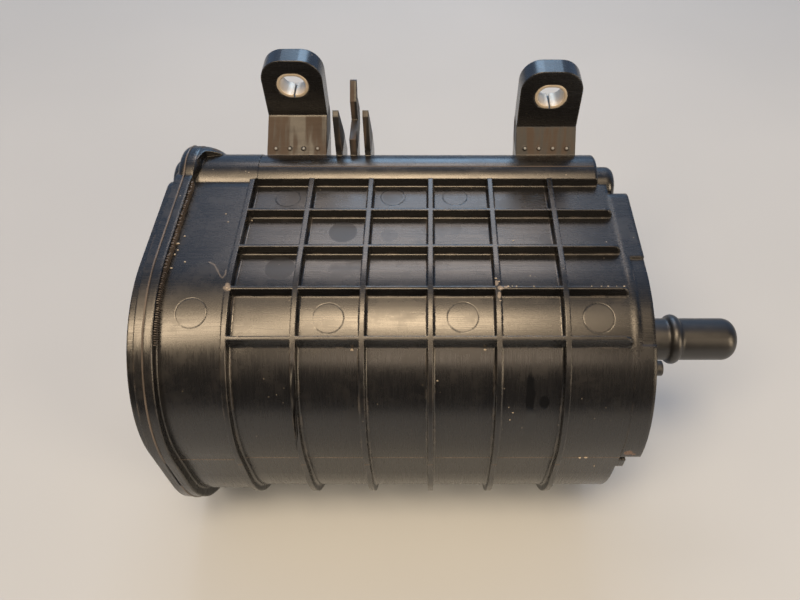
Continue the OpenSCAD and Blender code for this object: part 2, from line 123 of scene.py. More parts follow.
# the weld bead, the comb of teeth and the parting lines
BEAD_R = 0.30 * MM
TOOTH_PITCH = 0.72 * MM
TOOTH_HALF = 0.19 * MM
TOOTH_TIP = 0.25 * MM
TOOTH_TIP_REACH = 0.12 * MM
TEETH_BACK = 38 * MM
TEETH_TURN = math.radians(36)
FRONT_LINE_WIDE = 0.34 * MM
LOBE_LINE_WIDE = 0.36 * MM
LINE_OUT = 0.10 * MM
LINE_BURY = 0.05 * MM

# the ears, in millimetres: the middle of each one's row of studs, where the painted highlights sit,
# where the sloped roots start and end, and the stretch of the latch tongue and its guide fins
# between the ears
EARS = [(-51.2, 56.9, 113.6), (44.0, 56.2, 114.1)]
ROOT_START_Y = 54.8
ROOT_FULL_Y = 55.6
ROOT_TOP = RIB_TOP / MM + 8.5
FINS_X = -25.0
FINS_HALF = 13.6
STUD_PITCH = 5.3
STUDS = 4
STUD_GLINT_R = 0.75


# shader nodes

def add_node(tree, kind, **settings):
    """Makes one shader node and sets its properties."""
    made = tree.nodes.new("ShaderNode" + kind)
    for name, value in settings.items():
        setattr(made, name, value)
    return made


def feed(tree, socket, value):
    """Wires a socket to an output, or sets it to a plain value."""
    if isinstance(value, bpy.types.NodeSocket):
        tree.links.new(value, socket)
    else:
        socket.default_value = value


def calc(tree, operation, *values, clamp=False):
    """One math node over the given values; returns its output."""
    made = add_node(tree, "Math", operation=operation, use_clamp=clamp)
    for socket, value in zip(made.inputs, values):
        feed(tree, socket, value)
    return made.outputs[0]


def calc_vector(tree, operation, *values):
    """One vector math node; returns the output that the operation uses."""
    made = add_node(tree, "VectorMath", operation=operation)
    for socket, value in zip(made.inputs, values):
        feed(tree, socket, value)
    single = operation in ("LENGTH", "DISTANCE", "DOT_PRODUCT")
    return made.outputs["Value" if single else "Vector"]


def remap(tree, value, low, high, to_low=0.0, to_high=1.0):
    """Maps low..high smoothly to to_low..to_high, held at both ends."""
    made = add_node(tree, "MapRange", interpolation_type="SMOOTHSTEP")
    ends = {"From Min": low, "From Max": high, "To Min": to_low, "To Max": to_high}
    for name, number in ends.items():
        feed(tree, made.inputs[name], number)
    feed(tree, made.inputs["Value"], value)
    return made.outputs["Result"]


def blend_colour(tree, share, under, over):
    """Lays one colour over another by a mask."""
    made = add_node(tree, "Mix", data_type="RGBA")
    feed(tree, made.inputs["Factor"], share)
    feed(tree, made.inputs[6], under)
    feed(tree, made.inputs[7], over)
    return made.outputs[2]


def noise(tree, place, scale, detail=2.0, rough=0.5):
    """Noise over a place given in millimetres."""
    made = add_node(tree, "TexNoise")
    feed(tree, made.inputs["Vector"], place)
    feed(tree, made.inputs["Scale"], scale)
    feed(tree, made.inputs["Detail"], detail)
    feed(tree, made.inputs["Roughness"], rough)
    return made.outputs["Fac"]


def place_mm(tree):
    """The place on the part, in millimetres."""
    spot = add_node(tree, "TexCoord").outputs["Object"]
    return calc_vector(tree, "MULTIPLY", spot, (1000, 1000, 1000))


def new_group(name, inputs, outputs):
    """A shader node group with named sockets; returns the tree and its two end nodes."""
    tree = bpy.data.node_groups.new(name, "ShaderNodeTree")
    for label, kind, value in inputs:
        socket = tree.interface.new_socket(label, in_out="INPUT", socket_type="NodeSocket" + kind)
        socket.default_value = value
    for label, kind in outputs:
        tree.interface.new_socket(label, in_out="OUTPUT", socket_type="NodeSocket" + kind)
    return tree, tree.nodes.new("NodeGroupInput"), tree.nodes.new("NodeGroupOutput")


def use_group(tree, group, **values):
    """Places a group in a tree; the names of its inputs have _ for spaces."""
    made = add_node(tree, "Group", node_tree=group)
    for name, value in values.items():
        feed(tree, made.inputs[name.replace("_", " ")], value)
    return made


def make_mould_grain():
    """Fine pebble of a moulded surface, with polishing lines along the top and down the front."""
    tree, given, out = new_group(
        "mould grain",
        [("Pebble", "Float", 1.6), ("Lines", "Float", 2.4)],
        [("Height", "Float"), ("Streak", "Float"), ("Cloud", "Float")])
    spot = place_mm(tree)
    pebble = noise(tree, spot, given.outputs["Pebble"], detail=3)
    drawn_round = calc_vector(tree, "MULTIPLY", spot, (1, 0.05, 0.05))
    round_lines = noise(tree, drawn_round, given.outputs["Lines"])
    drawn_long = calc_vector(tree, "MULTIPLY", spot, (0.03, 1, 1))
    long_lines = noise(tree, drawn_long, given.outputs["Lines"])
    depth = add_node(tree, "SeparateXYZ")
    feed(tree, depth.inputs[0], spot)
    on_front = remap(tree, depth.outputs["Y"], FRONT_Y / MM, FRONT_Y / MM + 2, 0.9, 0.15)
    down = calc(tree, "MULTIPLY", round_lines, on_front)
    streak = calc(tree, "MULTIPLY_ADD", long_lines, calc(tree, "SUBTRACT", 1, on_front), down)
    feed(tree, out.inputs["Streak"], streak)
    height = calc(tree, "MULTIPLY_ADD", streak, 0.6, calc(tree, "MULTIPLY", pebble, 0.4))
    feed(tree, out.inputs["Height"], height)
    feed(tree, out.inputs["Cloud"], noise(tree, spot, 0.055, detail=4))
    return tree


def make_worn_edge():
    """Mask along the part's edges, broken up by noise."""
    tree, given, out = new_group(
        "worn edge", [("Width", "Float", 0.0008), ("Patches", "Float", 0.12)], [("Mask", "Float")])
    rounded = add_node(tree, "Bevel", samples=4)
    feed(tree, rounded.inputs["Radius"], given.outputs["Width"])
    plain = add_node(tree, "NewGeometry").outputs["Normal"]
    alike = calc_vector(tree, "DOT_PRODUCT", rounded.outputs["Normal"], plain)
    bend = calc(tree, "SUBTRACT", 1, alike)
    blotches = noise(tree, place_mm(tree), given.outputs["Patches"], detail=5, rough=0.65)
    patches = remap(tree, blotches, 0.42, 0.68)
    feed(tree, out.inputs["Mask"], calc(tree, "MULTIPLY", remap(tree, bend, 0.01, 0.12), patches))
    return tree


def make_settled_dust():
    """Film and specks of dust, thickest on what faces up."""
    tree, given, out = new_group(
        "settled dust", [("Speck size", "Float", 1.3)], [("Film", "Float"), ("Specks", "Float")])
    spot = place_mm(tree)
    up = add_node(tree, "SeparateXYZ")
    feed(tree, up.inputs[0], add_node(tree, "NewGeometry").outputs["Normal"])
    facing = remap(tree, up.outputs["Z"], -0.2, 0.9, 0.25, 1)
    film = remap(tree, noise(tree, spot, 0.09, detail=6, rough=0.7), 0.45, 0.75)
    feed(tree, out.inputs["Film"], calc(tree, "MULTIPLY", film, facing))
    cells = add_node(tree, "TexVoronoi", feature="F1")
    feed(tree, cells.inputs["Vector"], spot)
    feed(tree, cells.inputs["Scale"], calc(tree, "DIVIDE", 0.45, given.outputs["Speck size"]))
    grains = remap(tree, cells.outputs["Distance"], 0.05, 0.1, 1, 0)
    some = remap(tree, noise(tree, spot, 0.13), 0.56, 0.66)
    specks = calc(tree, "MULTIPLY", calc(tree, "MULTIPLY", grains, some), facing)
    feed(tree, out.inputs["Specks"], specks)
    return tree


def make_round_mark():
    """The ring and the disc that a round mould insert leaves; centre and sizes in millimetres."""
    tree, given, out = new_group(
        "round mark",
        [("Centre", "Vector", (0, 0, 0)), ("Radius", "Float", 5.0), ("Line", "Float", 0.27)],
        [("Ring", "Float"), ("Disc", "Float")])
    away = calc_vector(tree, "DISTANCE", place_mm(tree), given.outputs["Centre"])
    off = calc(tree, "ABSOLUTE", calc(tree, "SUBTRACT", away, given.outputs["Radius"]))
    feed(tree, out.inputs["Ring"], remap(tree, off, 0, given.outputs["Line"], 1, 0))
    inner = calc(tree, "SUBTRACT", given.outputs["Radius"], 0.5)
    feed(tree, out.inputs["Disc"], remap(tree, away, inner, given.outputs["Radius"], 1, 0))
    return tree


def make_soft_patch():
    """A blot with an uneven edge; centre and size in millimetres."""
    tree, given, out = new_group(
        "soft patch",
        [("Centre", "Vector", (0, 0, 0)), ("Size", "Vector", (5, 5, 5)), ("Uneven", "Float", 0.5)],
        [("Mask", "Float")])
    spot = place_mm(tree)
    shift = calc_vector(tree, "SUBTRACT", spot, given.outputs["Centre"])
    shift = calc_vector(tree, "DIVIDE", shift, given.outputs["Size"])
    wave = calc(tree, "SUBTRACT", noise(tree, spot, 0.3, detail=3), 0.5)
    away = calc_vector(tree, "LENGTH", shift)
    away = calc(tree, "MULTIPLY_ADD", wave, given.outputs["Uneven"], away)
    feed(tree, out.inputs["Mask"], remap(tree, away, 0.7, 1.0, 1, 0))
    return tree


def make_fine_line():
    """A fine wavering line between two points; points and width in millimetres."""
    tree, given, out = new_group(
        "fine line",
        [("Start", "Vector", (0, 0, 0)), ("End", "Vector", (1, 0, 0)), ("Width", "Float", 0.4)],
        [("Mask", "Float")])
    spot = place_mm(tree)
    along = calc_vector(tree, "SUBTRACT", given.outputs["End"], given.outputs["Start"])
    shift = calc_vector(tree, "SUBTRACT", spot, given.outputs["Start"])
    share = calc(
        tree, "DIVIDE", calc_vector(tree, "DOT_PRODUCT", shift, along),
        calc_vector(tree, "DOT_PRODUCT", along, along), clamp=True)
    nearest = add_node(tree, "VectorMath", operation="SCALE")
    feed(tree, nearest.inputs[0], along)
    feed(tree, nearest.inputs["Scale"], share)
    away = calc_vector(tree, "DISTANCE", shift, nearest.outputs["Vector"])
    wave = calc(tree, "SUBTRACT", noise(tree, spot, 0.9, detail=3), 0.5)
    away = calc(tree, "MULTIPLY_ADD", wave, given.outputs["Width"], away)
    feed(tree, out.inputs["Mask"], remap(tree, away, 0, given.outputs["Width"], 1, 0))
    return tree


MOULD_GRAIN = make_mould_grain()
WORN_EDGE = make_worn_edge()
SETTLED_DUST = make_settled_dust()
ROUND_MARK = make_round_mark()
SOFT_PATCH = make_soft_patch()
FINE_LINE = make_fine_line()


def new_material(name):
    """An empty material; returns it with its tree and its Principled shader."""
    made = bpy.data.materials.new(name)
    made.use_nodes = True
    return made, made.node_tree, made.node_tree.nodes["Principled BSDF"]


def set_bump(tree, shader, height, strength, distance, edge=0.0):
    """Feeds a height, worth distance in metres, to the normal, over edges rounded by edge."""
    bump = add_node(tree, "Bump")
    if edge:
        rounded = add_node(tree, "Bevel", samples=8)
        feed(tree, rounded.inputs["Radius"], edge)
        feed(tree, bump.inputs["Normal"], rounded.outputs["Normal"])
    bump.inputs["Strength"].default_value = strength
    bump.inputs["Distance"].default_value = distance
    feed(tree, bump.inputs["Height"], height)
    feed(tree, shader.inputs["Normal"], bump.outputs["Normal"])


def strongest(tree, masks):
    """The strongest of several masks at each place."""
    joined = masks[0]
    for mask in masks[1:]:
        joined = calc(tree, "MAXIMUM", joined, mask)
    return joined


def marks(tree, group, output, settings):
    """One group laid down once for each of its settings; the strongest mask counts."""
    return strongest(tree, [use_group(tree, group, **each).outputs[output] for each in settings])


def blots(tree, places, uneven):
    """Soft patches at the given centres, with the given sizes."""
    settings = [{"Centre": centre, "Size": size, "Uneven": uneven} for centre, size in places]
    return marks(tree, SOFT_PATCH, "Mask", settings)


def lay_colours(tree, colour, layers):
    """Lays colours over one another, each by its mask and its share."""
    for mask, share, over in layers:
        colour = blend_colour(tree, calc(tree, "MULTIPLY", mask, share), colour, (*over, 1))
    return colour


def add_up(tree, start, parts):
    """A value with several others added, each by its amount, held between 0 and 1."""
    for value, amount in parts[:-1]:
        start = calc(tree, "MULTIPLY_ADD", value, amount, start)
    value, amount = parts[-1]
    return calc(tree, "MULTIPLY_ADD", value, amount, start, clamp=True)


# round insert marks: centre and radius, in millimetres from the part's origin
RINGS = [
    ((-52.7, 35.6, 107.7), 4.5), ((-13.9, 36.1, 107.7), 4.5), ((9.1, 36.1, 107.7), 4.5),
    ((-33.3, -17.4, 104.2), 5.1), ((10.6, -17.1, 104.4), 5.1), ((54.8, -17.4, 104.2), 5.1),
    ((-76.9, -17.8, 107.4), 5.0),
]
# duller discs: centre, radius and strength
DULL_DISCS = [
    ((-30.9, 18.1, 107.7), 5.2, 1.0), ((-50.9, 1.2, 107.7), 5.2, 0.9),
    ((-14.5, 16.5, 107.7), 3.2, 0.3), ((-13.9, 36.1, 107.7), 3.9, 0.6),
    ((54.8, -17.4, 104.2), 4.7, 0.5),
]
# blots: centre and size
WET_PATCHES = [
    ((32.5, -37.5, 88.0), (1.75, 9, 8.5)), ((32.9, -42.0, 78.5), (2.1, 6, 9)),
    ((37.3, -38.6, 86.4), (1.7, 4, 2.6)), ((32.3, -45.0, 66.0), (2.2, 6, 13)),
]
RUST_STAINS = [((68.2, -45.0, 64.6), (1.7, 2.4, 1.7)), ((70.2, -45.0, 63.4), (1.0, 2.0, 0.9))]
BEIGE_SMEARS = [
    ((-66.0, -9.6, 111.0), (1.9, 2.0, 1.4)), ((21.5, -8.0, 110.9), (0.8, 1.1, 1.0)),
    ((22.8, -9.8, 110.4), (1.1, 0.9, 1.0)), ((24.6, -9.3, 110.6), (0.9, 0.7, 0.8)),
    ((22.3, -12.3, 109.9), (0.7, 1.2, 1.0)),
]
# tide line on the smooth part: points in a row
TIDE_LINE = [
    (-73.9, 0.7, 111.2), (-71.9, -0.4, 111.2), (-70.4, -2.8, 111.1), (-69.2, -5.0, 111.0),
    (-68.3, -5.9, 110.9), (-67.5, -4.6, 111.0), (-67.6, -2.8, 111.1),
]


def on_ear_roots(tree, place):
    """Mask over the sloped roots of the ears, the latch tongue and its fins."""
    behind = remap(tree, place.outputs["Y"], ROOT_START_Y, ROOT_FULL_Y)
    above = remap(tree, place.outputs["Z"], RIB_TOP / MM - 0.3, RIB_TOP / MM + 0.2)
    low_down = remap(tree, place.outputs["Z"], ROOT_TOP - 0.6, ROOT_TOP, 1, 0)
    on_fins = calc(tree, "COMPARE", place.outputs["X"], FINS_X, FINS_HALF)
    out_there = calc(tree, "MULTIPLY", behind, above)
    return calc(tree, "MULTIPLY", out_there, calc(tree, "MAXIMUM", low_down, on_fins))


def edge_rounding(tree, place):
    """How far the edges are rounded, in metres: more at the body's end and on the flange."""
    along = place.outputs["X"]
    end = END_X / MM
    near_end = remap(tree, along, end - 3.0, end - 2.0, EDGE_ROUND, END_ROUND)
    flange = FLANGE_X / MM
    near_flange = remap(tree, along, flange + 0.2, flange + 0.6, FLANGE_ROUND, 0.0)
    return calc(tree, "MAXIMUM", near_end, near_flange)


def make_housing_plastic(name, rounded):
    """Semi-gloss black nylon as moulded, handled and dusty, with a painted highlight on each ear
    stud; rounded softens the sharp edges.
    """
    made, tree, shader = new_material(name)
    grain = use_group(tree, MOULD_GRAIN)
    edge = use_group(tree, WORN_EDGE)
    dust = use_group(tree, SETTLED_DUST)
    place = add_node(tree, "SeparateXYZ")
    feed(tree, place.inputs[0], place_mm(tree))

    rings = marks(tree, ROUND_MARK, "Ring", [{"Centre": c, "Radius": r} for c, r in RINGS])
    discs = []
    for centre, radius, strength in DULL_DISCS:
        disc = use_group(tree, ROUND_MARK, Centre=centre, Radius=radius).outputs["Disc"]
        discs.append(calc(tree, "MULTIPLY", disc, strength))
    discs = strongest(tree, discs)
    # painted highlights: a pale disc on the top of each ear stud stands in for its glint
    painted_stud_glints = marks(tree, ROUND_MARK, "Disc", [
        {"Centre": (x + (i - (STUDS - 1) / 2) * STUD_PITCH, y, z), "Radius": STUD_GLINT_R}
        for x, y, z in EARS for i in range(STUDS)])
    wet = blots(tree, WET_PATCHES, 0.8)
    rust = blots(tree, RUST_STAINS, 1.2)
    smear = blots(tree, BEIGE_SMEARS, 1.6)
    tide = marks(tree, FINE_LINE, "Mask", [
        {"Start": a, "End": b, "Width": 0.42} for a, b in zip(TIDE_LINE, TIDE_LINE[1:])])

    # grime that has run down the sloped roots of the ears
    drawn_down = calc_vector(tree, "MULTIPLY", place_mm(tree), (1, 0.12, 0.12))
    runs = noise(tree, drawn_down, 0.32, detail=3)
    on_roots = on_ear_roots(tree, place)
    grime = calc(tree, "MULTIPLY", remap(tree, runs, 0.44, 0.60), on_roots)
    on_spigot = remap(tree, place.outputs["X"], END_X / MM + 7.0, END_X / MM + 8.0)

    feed(tree, shader.inputs["Base Color"], lay_colours(tree, (0.0055, 0.0055, 0.006, 1), [
        (dust.outputs["Film"], 0.014, (0.42, 0.38, 0.33)),
        (edge.outputs["Mask"], 0.20, (0.30, 0.26, 0.22)),
        (dust.outputs["Specks"], 0.45, (0.5, 0.45, 0.38)),
        (grime, 0.28, (0.13, 0.08, 0.05)),
        (rust, 0.55, (0.20, 0.10, 0.045)),
        (smear, 0.45, (0.40, 0.34, 0.28)),
        (tide, 0.22, (0.42, 0.36, 0.30)),
        # painted highlight on the ear studs, not a colour of their own
        (painted_stud_glints, 0.4, (0.50, 0.56, 0.62)),
        (wet, 1.0, (0.004, 0.004, 0.004)),
    ]))

    rough = remap(tree, grain.outputs["Streak"], 0.3, 0.7, 0.20, 0.26)
    feed(tree, shader.inputs["Roughness"], add_up(tree, rough, [
        (grain.outputs["Cloud"], 0.06), (dust.outputs["Film"], 0.10), (discs, 0.14),
        (on_roots, 0.25), (on_spigot, 0.12), (grime, 0.30), (wet, -0.15),
    ]))
    shader.inputs["Specular IOR Level"].default_value = 0.8

    broken = remap(tree, noise(tree, place_mm(tree), 0.25), 0.35, 0.6, -0.20, -0.50)
    pebble = calc(tree, "MULTIPLY", grain.outputs["Height"], 0.03)
    height = calc(tree, "MULTIPLY_ADD", rings, broken, pebble)
    soft = edge_rounding(tree, place) if rounded else 0.0
    set_bump(tree, shader, height, 1.0, 0.12 * MM, edge=soft)
    return made


def make_cap_plastic():
    """The cap's black nylon, a little duller and more scuffed than the housing."""
    made, tree, shader = new_material("cap_plastic")
    grain = use_group(tree, MOULD_GRAIN, Pebble=1.3, Lines=1.8)
    edge = use_group(tree, WORN_EDGE, Width=0.001, Patches=0.2)
    dust = use_group(tree, SETTLED_DUST, Speck_size=1.1)
    feed(tree, shader.inputs["Base Color"], lay_colours(tree, (0.006, 0.006, 0.0065, 1), [
        (dust.outputs["Film"], 0.022, (0.42, 0.37, 0.31)),
        (edge.outputs["Mask"], 0.28, (0.34, 0.28, 0.22)),
        (dust.outputs["Specks"], 0.45, (0.5, 0.44, 0.36)),
    ]))
    rough = remap(tree, grain.outputs["Streak"], 0.3, 0.7, 0.22, 0.31)
    feed(tree, shader.inputs["Roughness"], add_up(tree, rough, [(dust.outputs["Film"], 0.12)]))
    shader.inputs["Specular IOR Level"].default_value = 0.8
    set_bump(tree, shader, grain.outputs["Height"], 0.5, 0.03 * MM, edge=CAP_ROUND)
    return made


def make_flash_plastic():
    """Bare edges of black nylon where the mould parts and the weld squeezes out."""
    made, tree, shader = new_material("flash_plastic")
    grain = use_group(tree, MOULD_GRAIN, Pebble=3.0, Lines=1.0)
    dark, light = (0.03, 0.027, 0.025, 1), (0.16, 0.13, 0.11, 1)
    colour = blend_colour(tree, grain.outputs["Cloud"], dark, light)
    feed(tree, shader.inputs["Base Color"], colour)
    feed(tree, shader.inputs["Roughness"], remap(tree, grain.outputs["Streak"], 0.3, 0.7, 0.3, 0.5))
    set_bump(tree, shader, grain.outputs["Height"], 0.4, 0.04 * MM)
    return made


def make_crumb_dirt():
    """Pale crumbs of dry dirt and weld dust."""
    made, tree, shader = new_material("crumb_dirt")
    grain = use_group(tree, MOULD_GRAIN, Pebble=4.0, Lines=1.0)
    dark, light = (0.24, 0.20, 0.16, 1), (0.52, 0.47, 0.40, 1)
    colour = blend_colour(tree, grain.outputs["Height"], dark, light)
    feed(tree, shader.inputs["Base Color"], colour)
    shader.inputs["Roughness"].default_value = 0.8
    set_bump(tree, shader, grain.outputs["Height"], 0.6, 0.05 * MM)
    return made


def make_metal(name, light, dark, smooth, dull, metallic):
    """Plated or bright steel with handling marks."""
    made, tree, shader = new_material(name)
    grain = use_group(tree, MOULD_GRAIN, Pebble=2.2, Lines=3.0)
    edge = use_group(tree, WORN_EDGE, Width=0.0006, Patches=0.4)
    tarnish = remap(tree, grain.outputs["Cloud"], 0.35, 0.65)
    colour = blend_colour(tree, tarnish, (*light, 1), (*dark, 1))
    colour = lay_colours(tree, colour, [(edge.outputs["Mask"], 0.5, (0.9, 0.86, 0.78))])
    feed(tree, shader.inputs["Base Color"], colour)
    rough = remap(tree, grain.outputs["Streak"], 0.3, 0.7, smooth, dull)
    feed(tree, shader.inputs["Roughness"], rough)
    shader.inputs["Metallic"].default_value = metallic
    set_bump(tree, shader, grain.outputs["Height"], 0.4, 0.03 * MM, edge=METAL_ROUND)
    return made


def make_filler(name, light, dark, scale, depth):
    """Charcoal, felt or natural plastic inside the body."""
    made, tree, shader = new_material(name)
    grain = use_group(tree, MOULD_GRAIN, Pebble=scale, Lines=scale)
    grains = remap(tree, grain.outputs["Height"], 0.35, 0.65)
    feed(tree, shader.inputs["Base Color"], blend_colour(tree, grains, (*dark, 1), (*light, 1)))
    rough = remap(tree, grain.outputs["Height"], 0.3, 0.7, 0.6, 0.95)
    feed(tree, shader.inputs["Roughness"], rough)
    set_bump(tree, shader, grain.outputs["Height"], 0.8, depth)
    return made


HOUSING_PLASTIC = make_housing_plastic("housing_plastic", rounded=True)
FILLET_PLASTIC = make_housing_plastic("fillet_plastic", rounded=False)
CAP_PLASTIC = make_cap_plastic()
FLASH_PLASTIC = make_flash_plastic()
CRUMB_DIRT = make_crumb_dirt()
SLEEVE_STEEL = make_metal("sleeve_steel", (0.78, 0.70, 0.58), (0.62, 0.54, 0.43), 0.36, 0.5, 0.4)
SPRING_STEEL = make_metal("spring_steel", (0.62, 0.62, 0.63), (0.42, 0.42, 0.44), 0.3, 0.45, 0.85)
CHARCOAL = make_filler("charcoal", (0.03, 0.03, 0.03), (0.008, 0.008, 0.008), 0.5, 0.6 * MM)
FELT = make_filler("felt", (0.80, 0.79, 0.74), (0.62, 0.60, 0.54), 1.2, 0.3 * MM)
PLATE_PLASTIC = make_filler("plate_plastic", (0.82, 0.82, 0.79), (0.74, 0.74, 0.70), 1.5, 0.05 * MM)


def dress(piece, material):
    """Gives a piece one material."""
    piece.data.materials.clear()
    piece.data.materials.append(material)


# pieces

def new_piece(name, mesh, material):
    """Puts a mesh in the scene as a piece of the part."""
    piece = bpy.data.objects.new(name, mesh)
    bpy.context.scene.collection.objects.link(piece)
    dress(piece, material)
    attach(piece, "root")


def finish_mesh(name, shape, sharp_deg=40):
    """Turns a bmesh into a mesh that is smooth but for its sharp edges."""
    mesh = bpy.data.meshes.new(name)
    shape.to_mesh(mesh)
    shape.free()
    for face in mesh.polygons:
        face.use_smooth = True
    mesh.set_sharp_from_angle(angle=math.radians(sharp_deg))
    return mesh


FINISHES = {
    "housing": HOUSING_PLASTIC, "end": CAP_PLASTIC, "sleeve": SLEEVE_STEEL, "bed": CHARCOAL,
    "felt": FELT, "press": PLATE_PLASTIC, "spring": SPRING_STEEL,
}
for node_name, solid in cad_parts.items():
    dress(solid, FINISHES[node_name.split("_")[0]])


def section_path(radius, high, low, back, step=3.0):
    """Points round a section of the body: along the top from behind, down the front and under.

    Each point is a depth and a height, with the way out of the surface there.
    """
    path = []
    flat = max(2, round(back / MM / step))
    for i in range(flat):
        path.append((back * (1 - i / flat), high + radius, 0, 1))
    turns = 24
    for i in range(turns):
        angle = math.pi / 2 * (1 + i / turns)
        out_y, out_z = math.cos(angle), math.sin(angle)
        path.append((radius * out_y, high + radius * out_z, out_y, out_z))
    for i in range(turns + 1):
        angle = math.pi + math.pi / 2 * i / turns
        out_y, out_z = math.cos(angle), math.sin(angle)
        path.append((radius * out_y, low + radius * out_z, out_y, out_z))
    for i in range(1, flat + 1):
        path.append((back * i / flat, low - radius, 0, -1))
    return path


def sweep(shape, rings):
    """Skins a row of closed rings of points and closes both ends."""
    made = [[shape.verts.new(point) for point in ring] for ring in rings]
    count = len(made[0])
    for near, far in zip(made, made[1:]):
        for i in range(count):
            j = (i + 1) % count
            shape.faces.new((near[i], near[j], far[j], far[i]))
    shape.faces.new(reversed(made[0]))
    shape.faces.new(made[-1])


def fillet_profile(radius, steps=8):
    """A hollow quarter round from the foot out to the wall, with a buried corner behind it."""
    curve = []
    for i in range(steps + 1):
        turn = math.pi / 2 * i / steps
        curve.append((radius * (1 - math.sin(turn)), radius * (1 - math.cos(turn))))
    return curve + [(-BURY, radius), (-BURY, -BURY), (radius, -BURY)]


def finished(name, shape, material, sharp_deg=40):
    """Turns a bmesh with all its faces outwards into a piece."""
    bmesh.ops.recalc_face_normals(shape, faces=shape.faces)
    new_piece(name, finish_mesh(name, shape, sharp_deg), material)


def make_hoop_fillets():
    """The fillets at the feet of the ribs that run round the body."""
    shape = bmesh.new()
    path = section_path(PANEL_R, PANEL_HIGH, PANEL_LOW, HOOP_BACK)
    path[0] = (RAIL_Y, *path[0][1:])  # on the top it runs back to the side chamber's step
    profile = fillet_profile(HOOP_FILLET)
    for i in range(CELLS):
        for side in (-1, 1):
            if i == 0 and side < 0:
                continue
            wall = GRID_X + i * CELL + side * RIB_THICK / 2
            sweep(shape, [
                [(wall + side * away, y + out_y * up, z + out_z * up) for away, up in profile]
                for y, z, out_y, out_z in path])
    finished("hoop_fillets", shape, FILLET_PLASTIC)


def row_fillet(wall_y, side, steps=8):
    """Section of the fillet between a lengthwise rib and the panel; side is -1 before the rib."""
    mid_y = wall_y + side * ROW_FILLET
    if mid_y >= 0:
        mid_z, foot_angle = PANEL_TOP + ROW_FILLET, -math.pi / 2
    else:
        mid_z = PANEL_HIGH + math.sqrt((PANEL_R + ROW_FILLET) ** 2 - mid_y ** 2)
        foot_angle = math.atan2(PANEL_HIGH - mid_z, -mid_y)
    wall_angle = -math.pi if side > 0 else 0
    curve = []
    for i in range(steps + 1):
        angle = foot_angle + (wall_angle - foot_angle) * i / steps
        curve.append((mid_y + ROW_FILLET * math.cos(angle), mid_z + ROW_FILLET * math.sin(angle)))
    inner_y = wall_y - side * BURY
    deep = min(curve[0][1], mid_z - ROW_FILLET) - ROW_BURY
    return curve + [(inner_y, mid_z), (inner_y, deep), (curve[0][0], curve[0][1] - BURY)]


def make_row_fillets():
    """The fillets at the feet of the lengthwise ribs and of the side chamber's step."""
    shape = bmesh.new()
    start = GRID_X + RIB_THICK / 2
    walls = [(y + side * ROW_THICK / 2, side, ROW_END) for y in ROWS_Y for side in (-1, 1)]
    walls.append((RAIL_Y, -1, LOBE_STEP_END))
    for wall_y, side, end in walls:
        profile = row_fillet(wall_y, side)
        sweep(shape, [[(x, y, z) for y, z in profile] for x in (start, end)])
    finished("row_fillets", shape, FILLET_PLASTIC)


def flange_path():
    """The outline of the weld flange, round the side chamber and down the front."""
    round_lobe = LOBE_R + FLANGE_OUT
    top = SMOOTH_HIGH + FLANGE_R
    meet = math.acos(-math.sqrt(round_lobe ** 2 - (top - LOBE_Z) ** 2) / round_lobe)
    path = []
    turns = 28
    for i in range(turns):
        angle = FLANGE_START + (meet - FLANGE_START) * i / turns
        way = (math.cos(angle), math.sin(angle))
        path.append((LOBE_Y + round_lobe * way[0], LOBE_Z + round_lobe * way[1], *way))
    meet_y = LOBE_Y + round_lobe * math.cos(meet)
    rest = section_path(FLANGE_R, SMOOTH_HIGH, SMOOTH_LOW, meet_y)
    return path + [point for point in rest if point[1] > FLANGE_FOOT]


def inside_box(x, y, z):
    """A point held inside the solids' own box."""
    low, high = cad_box
    return tuple(min(max(value, a), b) for value, a, b in zip((x, y, z), low, high))


def make_weld_bead():
    """The thin bead that the weld squeezes out between the cap and the flange."""
    random.seed(7)
    shape = bmesh.new()
    rings = []
    for y, z, out_y, out_z in flange_path():
        swell = BEAD_R * random.uniform(0.75, 1.2)
        ring = []
        for k in range(8):
            turn = 2 * math.pi * k / 8
            up = swell * math.sin(turn)
            ring.append(inside_box(WELD_X + swell * math.cos(turn), y + out_y * up, z + out_z * up))
        rings.append(ring)
    sweep(shape, rings)
    finished("weld_bead", shape, FLASH_PLASTIC)


def make_flange_roll():
    """The rounded shoulder from the flange down to the side chamber."""
    shape = bmesh.new()
    rise = SMOOTH_HIGH + SMOOTH_R - LOBE_Z
    last = math.acos(-math.sqrt(LOBE_R ** 2 - rise ** 2) / LOBE_R)
    turns, steps = 36, 8
    rings = []
    for i in range(turns + 1):
        angle = FLANGE_START + (last - FLANGE_START) * i / turns
        wide = ROLL_WIDE * min(1, 0.15 + (last - angle) / ROLL_FADE)
        section = []
        for k in range(steps + 1):
            turn = math.pi / 2 * k / steps
            section.append((wide * math.cos(turn), FLANGE_OUT * math.sin(turn)))
        section += [(-BURY, FLANGE_OUT), (-BURY, -BURY), (wide, -BURY)]
        ring = []
        for x, up in section:
            away = LOBE_R + up
            y, z = LOBE_Y + away * math.cos(angle), LOBE_Z + away * math.sin(angle)
            ring.append((FLANGE_X + x, y, z))
        rings.append(ring)
    sweep(shape, rings)
    finished("flange_roll", shape, FILLET_PLASTIC)


